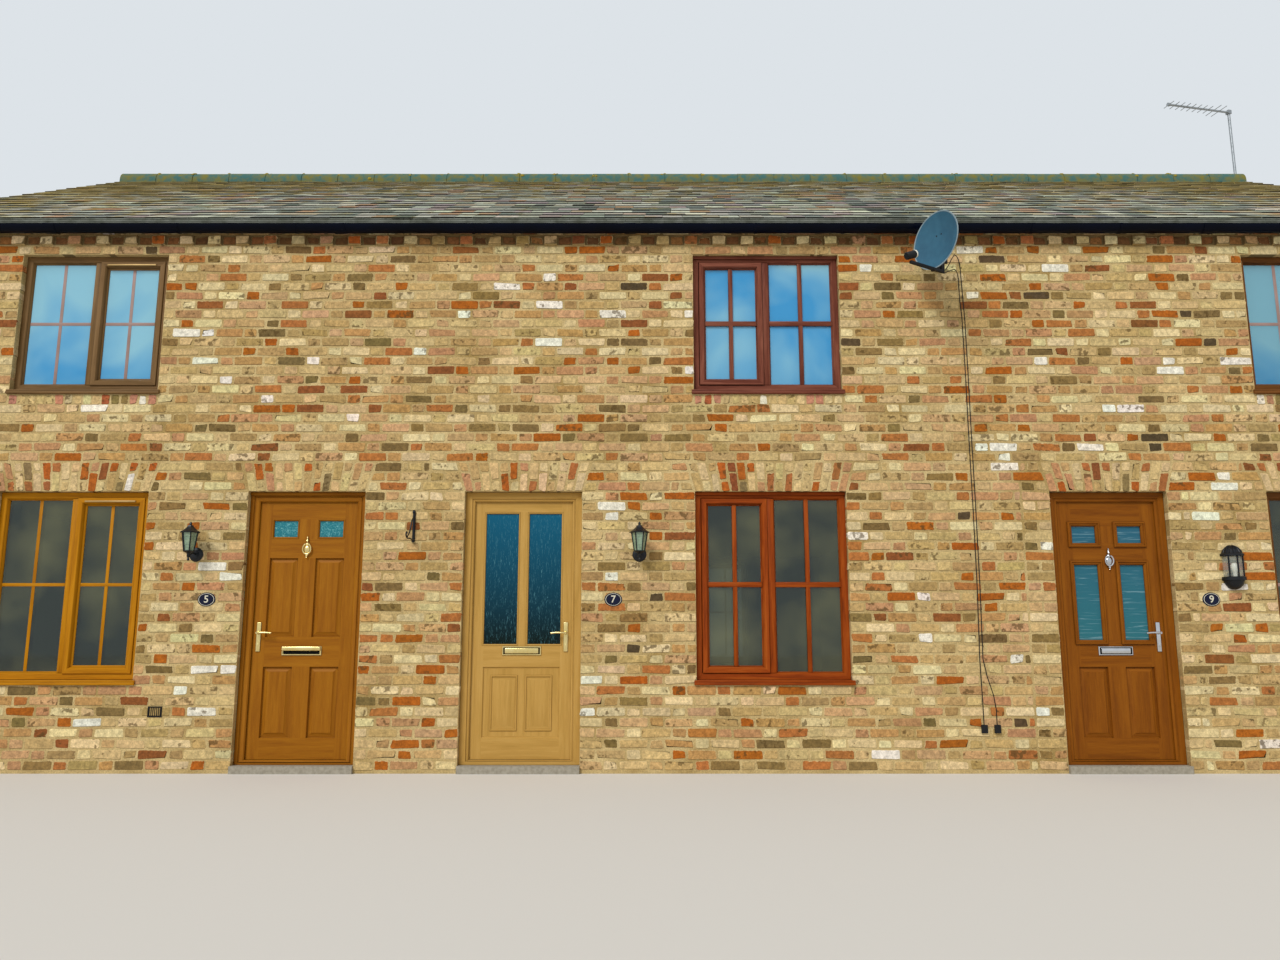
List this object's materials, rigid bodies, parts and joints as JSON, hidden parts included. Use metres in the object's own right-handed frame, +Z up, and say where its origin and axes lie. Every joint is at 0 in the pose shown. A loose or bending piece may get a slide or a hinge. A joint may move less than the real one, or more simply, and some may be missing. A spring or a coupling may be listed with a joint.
{
  "type": "terraced house row",
  "caption": "Row of brick terraced houses with a slate roof, flat brick arches, dentilled eaves, and front doors that open inwards on hinges",
  "frame": {"origin": "Middle of the footprint on the underside of the ground floor, level with the ground", "axes": "+X to the right along the street front, -Y out of the street front, +Z up"},
  "size_m": [13.6805, 8.037, 7.5126],
  "materials": {
    "stock_brick": "rough reclaimed stock bricks, buff with red, pink, olive and black ones, in cream mortar",
    "arch_brick": "rough buff and red bricks on end in cream mortar",
    "roof_slate": "weathered grey slate with yellow and green lichen",
    "ridge_clay": "weathered brown clay with moss",
    "concrete_floor": "floated concrete",
    "floor_timber": "plain softwood boards",
    "step_stone": "worn stone",
    "black_gutter": "black moulded plastic, half gloss",
    "golden_oak": "golden oak woodgrain, satin",
    "pale_oak": "pale oak woodgrain, satin",
    "brown_oak": "brown oak woodgrain, satin",
    "oak_frame": "oak foil on plastic, satin",
    "brown_frame": "brown foil on plastic, satin",
    "mahogany_stain": "red mahogany stain, half gloss",
    "window_glass": "clear float glass",
    "obscure_glass": "patterned obscure glass",
    "polished_brass": "polished brass",
    "bright_chrome": "polished chrome plate",
    "black_iron": "black paint, half gloss",
    "blue_enamel": "dark blue enamel with a cream rim",
    "grey_dish": "blue-grey powder coat",
    "dull_aluminium": "dull weathered aluminium",
    "black_cable": "black cable jacket"
  },
  "bodies": {
    "house": {"ground_floor_slab": "concrete_floor", "first_floor": "floor_timber", "front_wall_left_bay": "stock_brick", "front_wall_pier": "stock_brick", "front_wall_middle_bay": "stock_brick", "front_wall_right_bay": "stock_brick", "walls_over_doors": "stock_brick", "rear_wall": "stock_brick", "left_gable_wall": "stock_brick", "right_gable_wall": "stock_brick", "party_walls": "stock_brick", "flat_arches": "arch_brick", "eaves_bands": "stock_brick", "front_roof_slope": "roof_slate", "rear_roof_slope": "roof_slate", "ridge_tiles": "ridge_clay", "gutters": "black_gutter", "downpipes": "black_gutter", "door_steps": "step_stone", "left_door_frame": "golden_oak", "middle_door_frame": "pale_oak", "right_door_frame": "brown_oak", "left_house_windows": "oak_frame", "middle_house_windows": "mahogany_stain", "right_house_windows": "brown_frame", "front_window_glass": "window_glass", "rear_windows": "brown_frame", "rear_window_glass": "window_glass", "rear_doors": "brown_oak", "wall_lanterns": "black_iron", "number_plates": "blue_enamel", "basket_bracket": "black_iron", "satellite_dish": "grey_dish", "tv_aerial": "dull_aluminium", "dish_cables": "black_cable", "air_brick": "black_iron"},
    "left_door": {"left_door_leaf": "golden_oak", "left_door_glass": "obscure_glass", "left_door_fittings": "polished_brass"},
    "middle_door": {"middle_door_leaf": "pale_oak", "middle_door_glass": "obscure_glass", "middle_door_fittings": "polished_brass"},
    "right_door": {"right_door_leaf": "brown_oak", "right_door_glass": "obscure_glass", "right_door_fittings": "bright_chrome"}
  },
  "joints": [
    {"name": "left_door_hinge", "type": "hinge", "parent": "house", "child": "left_door", "pos_m": [-2.6975, -3.519, 0], "axis": [0, 0, -1], "range_deg": [0, 90]},
    {"name": "middle_door_hinge", "type": "hinge", "parent": "house", "child": "middle_door", "pos_m": [-1.8025, -3.519, 0], "axis": [0, 0, 1], "range_deg": [0, 90]},
    {"name": "right_door_hinge", "type": "hinge", "parent": "house", "child": "right_door", "pos_m": [2.6975, -3.519, 0], "axis": [0, 0, 1], "range_deg": [0, 90]}
  ]
}
